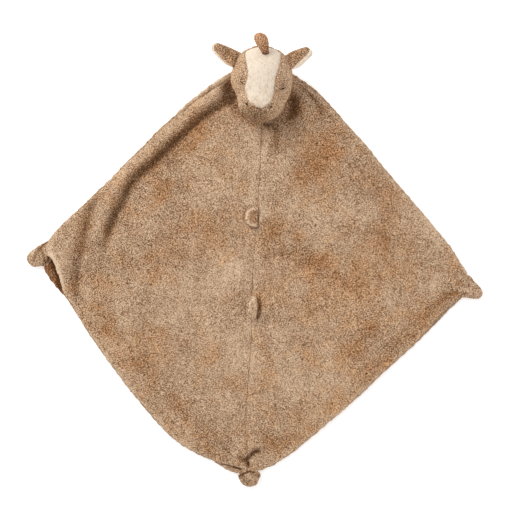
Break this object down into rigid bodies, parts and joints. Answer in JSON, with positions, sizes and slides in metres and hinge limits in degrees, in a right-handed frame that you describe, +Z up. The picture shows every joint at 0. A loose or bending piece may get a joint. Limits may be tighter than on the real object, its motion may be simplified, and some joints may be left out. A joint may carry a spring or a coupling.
{
  "type": "comfort blanket with stuffed animal head",
  "caption": "Small square plush comfort blanket with a stuffed pony head gathered at one corner, knotted nubs in the others, and soft tabs in the centre seam.",
  "frame": {"origin": "middle of the blanket, on the underside of its back panel, where it rests", "axes": "+X to the right of the animal's face as seen from above, +Y from the middle of the blanket towards the head, +Z up out of the blanket"},
  "size_m": [0.5031, 0.4951, 0.073],
  "materials": {
    "plush_tan": "curly short-pile plush, matt",
    "plush_tan_back": "curly short-pile plush, matt",
    "plush_cream": "smooth short-pile plush, matt",
    "plush_brown": "brushed plush, matt",
    "thread_brown": "embroidery thread, slight sheen",
    "fibre_white": "polyester fibre filling"
  },
  "bodies": {
    "blanket": {"front_panel_left": "plush_tan", "front_panel_right": "plush_tan", "back_panel": "plush_tan_back"},
    "neck": {"neck_gather": "plush_tan"},
    "head": {"head_side_left": "plush_tan", "head_side_right": "plush_tan", "blaze_gusset": "plush_cream", "head_back_gusset": "plush_tan", "head_stuffing": "fibre_white", "eye_left": "thread_brown", "eye_right": "thread_brown", "nostril_left": "thread_brown", "nostril_right": "thread_brown"},
    "ear_left": {"ear_left_outer": "plush_tan", "ear_left_lining": "plush_cream"},
    "ear_right": {"ear_right_outer": "plush_tan", "ear_right_lining": "plush_cream"},
    "forelock": {"forelock": "plush_brown"},
    "seam_tab_upper": {"seam_tab_upper": "plush_tan"},
    "seam_tab_lower": {"seam_tab_lower": "plush_tan"},
    "knot_left": {"knot_left": "plush_tan"},
    "knot_right": {"knot_right": "plush_tan"},
    "knot_bottom": {"knot_bottom": "plush_tan"}
  },
  "joints": [
    {"name": "neck_turn", "type": "hinge", "parent": "blanket", "child": "neck", "pos_m": [0, 0.189, 0.0074], "axis": [0, 0, 1], "range_deg": [-30, 30]},
    {"name": "head_nod", "type": "hinge", "parent": "neck", "child": "head", "pos_m": [0, 0.177, 0.0133], "axis": [1, 0, 0], "range_deg": [0, 40]},
    {"name": "ear_left_lift", "type": "hinge", "parent": "head", "child": "ear_left", "pos_m": [-0.02888, 0.21755, 0.04412], "axis": [0.46, 0.7898, -0.4057], "range_deg": [-25, 35], "stiffness_Nm_per_rad": 0.004},
    {"name": "ear_right_lift", "type": "hinge", "parent": "head", "child": "ear_right", "pos_m": [0.02888, 0.21755, 0.04412], "axis": [0.46, -0.7898, 0.4057], "range_deg": [-25, 35], "stiffness_Nm_per_rad": 0.004},
    {"name": "forelock_flop", "type": "hinge", "parent": "head", "child": "forelock", "pos_m": [0.00262, 0.22331, 0.06092], "axis": [1, 0, 0], "range_deg": [-10, 40], "stiffness_Nm_per_rad": 0.003},
    {"name": "seam_tab_upper_turn", "type": "hinge", "parent": "blanket", "child": "seam_tab_upper", "pos_m": [0, 0.04944, 0.0094], "axis": [0, 1, 0], "range_deg": [0, 150], "stiffness_Nm_per_rad": 0.002},
    {"name": "seam_tab_lower_turn", "type": "hinge", "parent": "blanket", "child": "seam_tab_lower", "pos_m": [0.00014, -0.05015, 0.0094], "axis": [0, 1, 0], "range_deg": [-48, 100], "stiffness_Nm_per_rad": 0.002},
    {"name": "knot_left_lift", "type": "hinge", "parent": "blanket", "child": "knot_left", "pos_m": [-0.23309, -0.00074, 0.0037], "axis": [-0.3256, 0.9455, 0], "range_deg": [0, 60], "stiffness_Nm_per_rad": 0.004},
    {"name": "knot_right_lift", "type": "hinge", "parent": "blanket", "child": "knot_right", "pos_m": [0.23289, -0.01773, 0.0037], "axis": [-0.454, -0.891, 0], "range_deg": [0, 60], "stiffness_Nm_per_rad": 0.004},
    {"name": "knot_bottom_lift", "type": "hinge", "parent": "blanket", "child": "knot_bottom", "pos_m": [0.003, -0.2328, 0.0037], "axis": [-1, 0, 0], "range_deg": [0, 60], "stiffness_Nm_per_rad": 0.004}
  ]
}
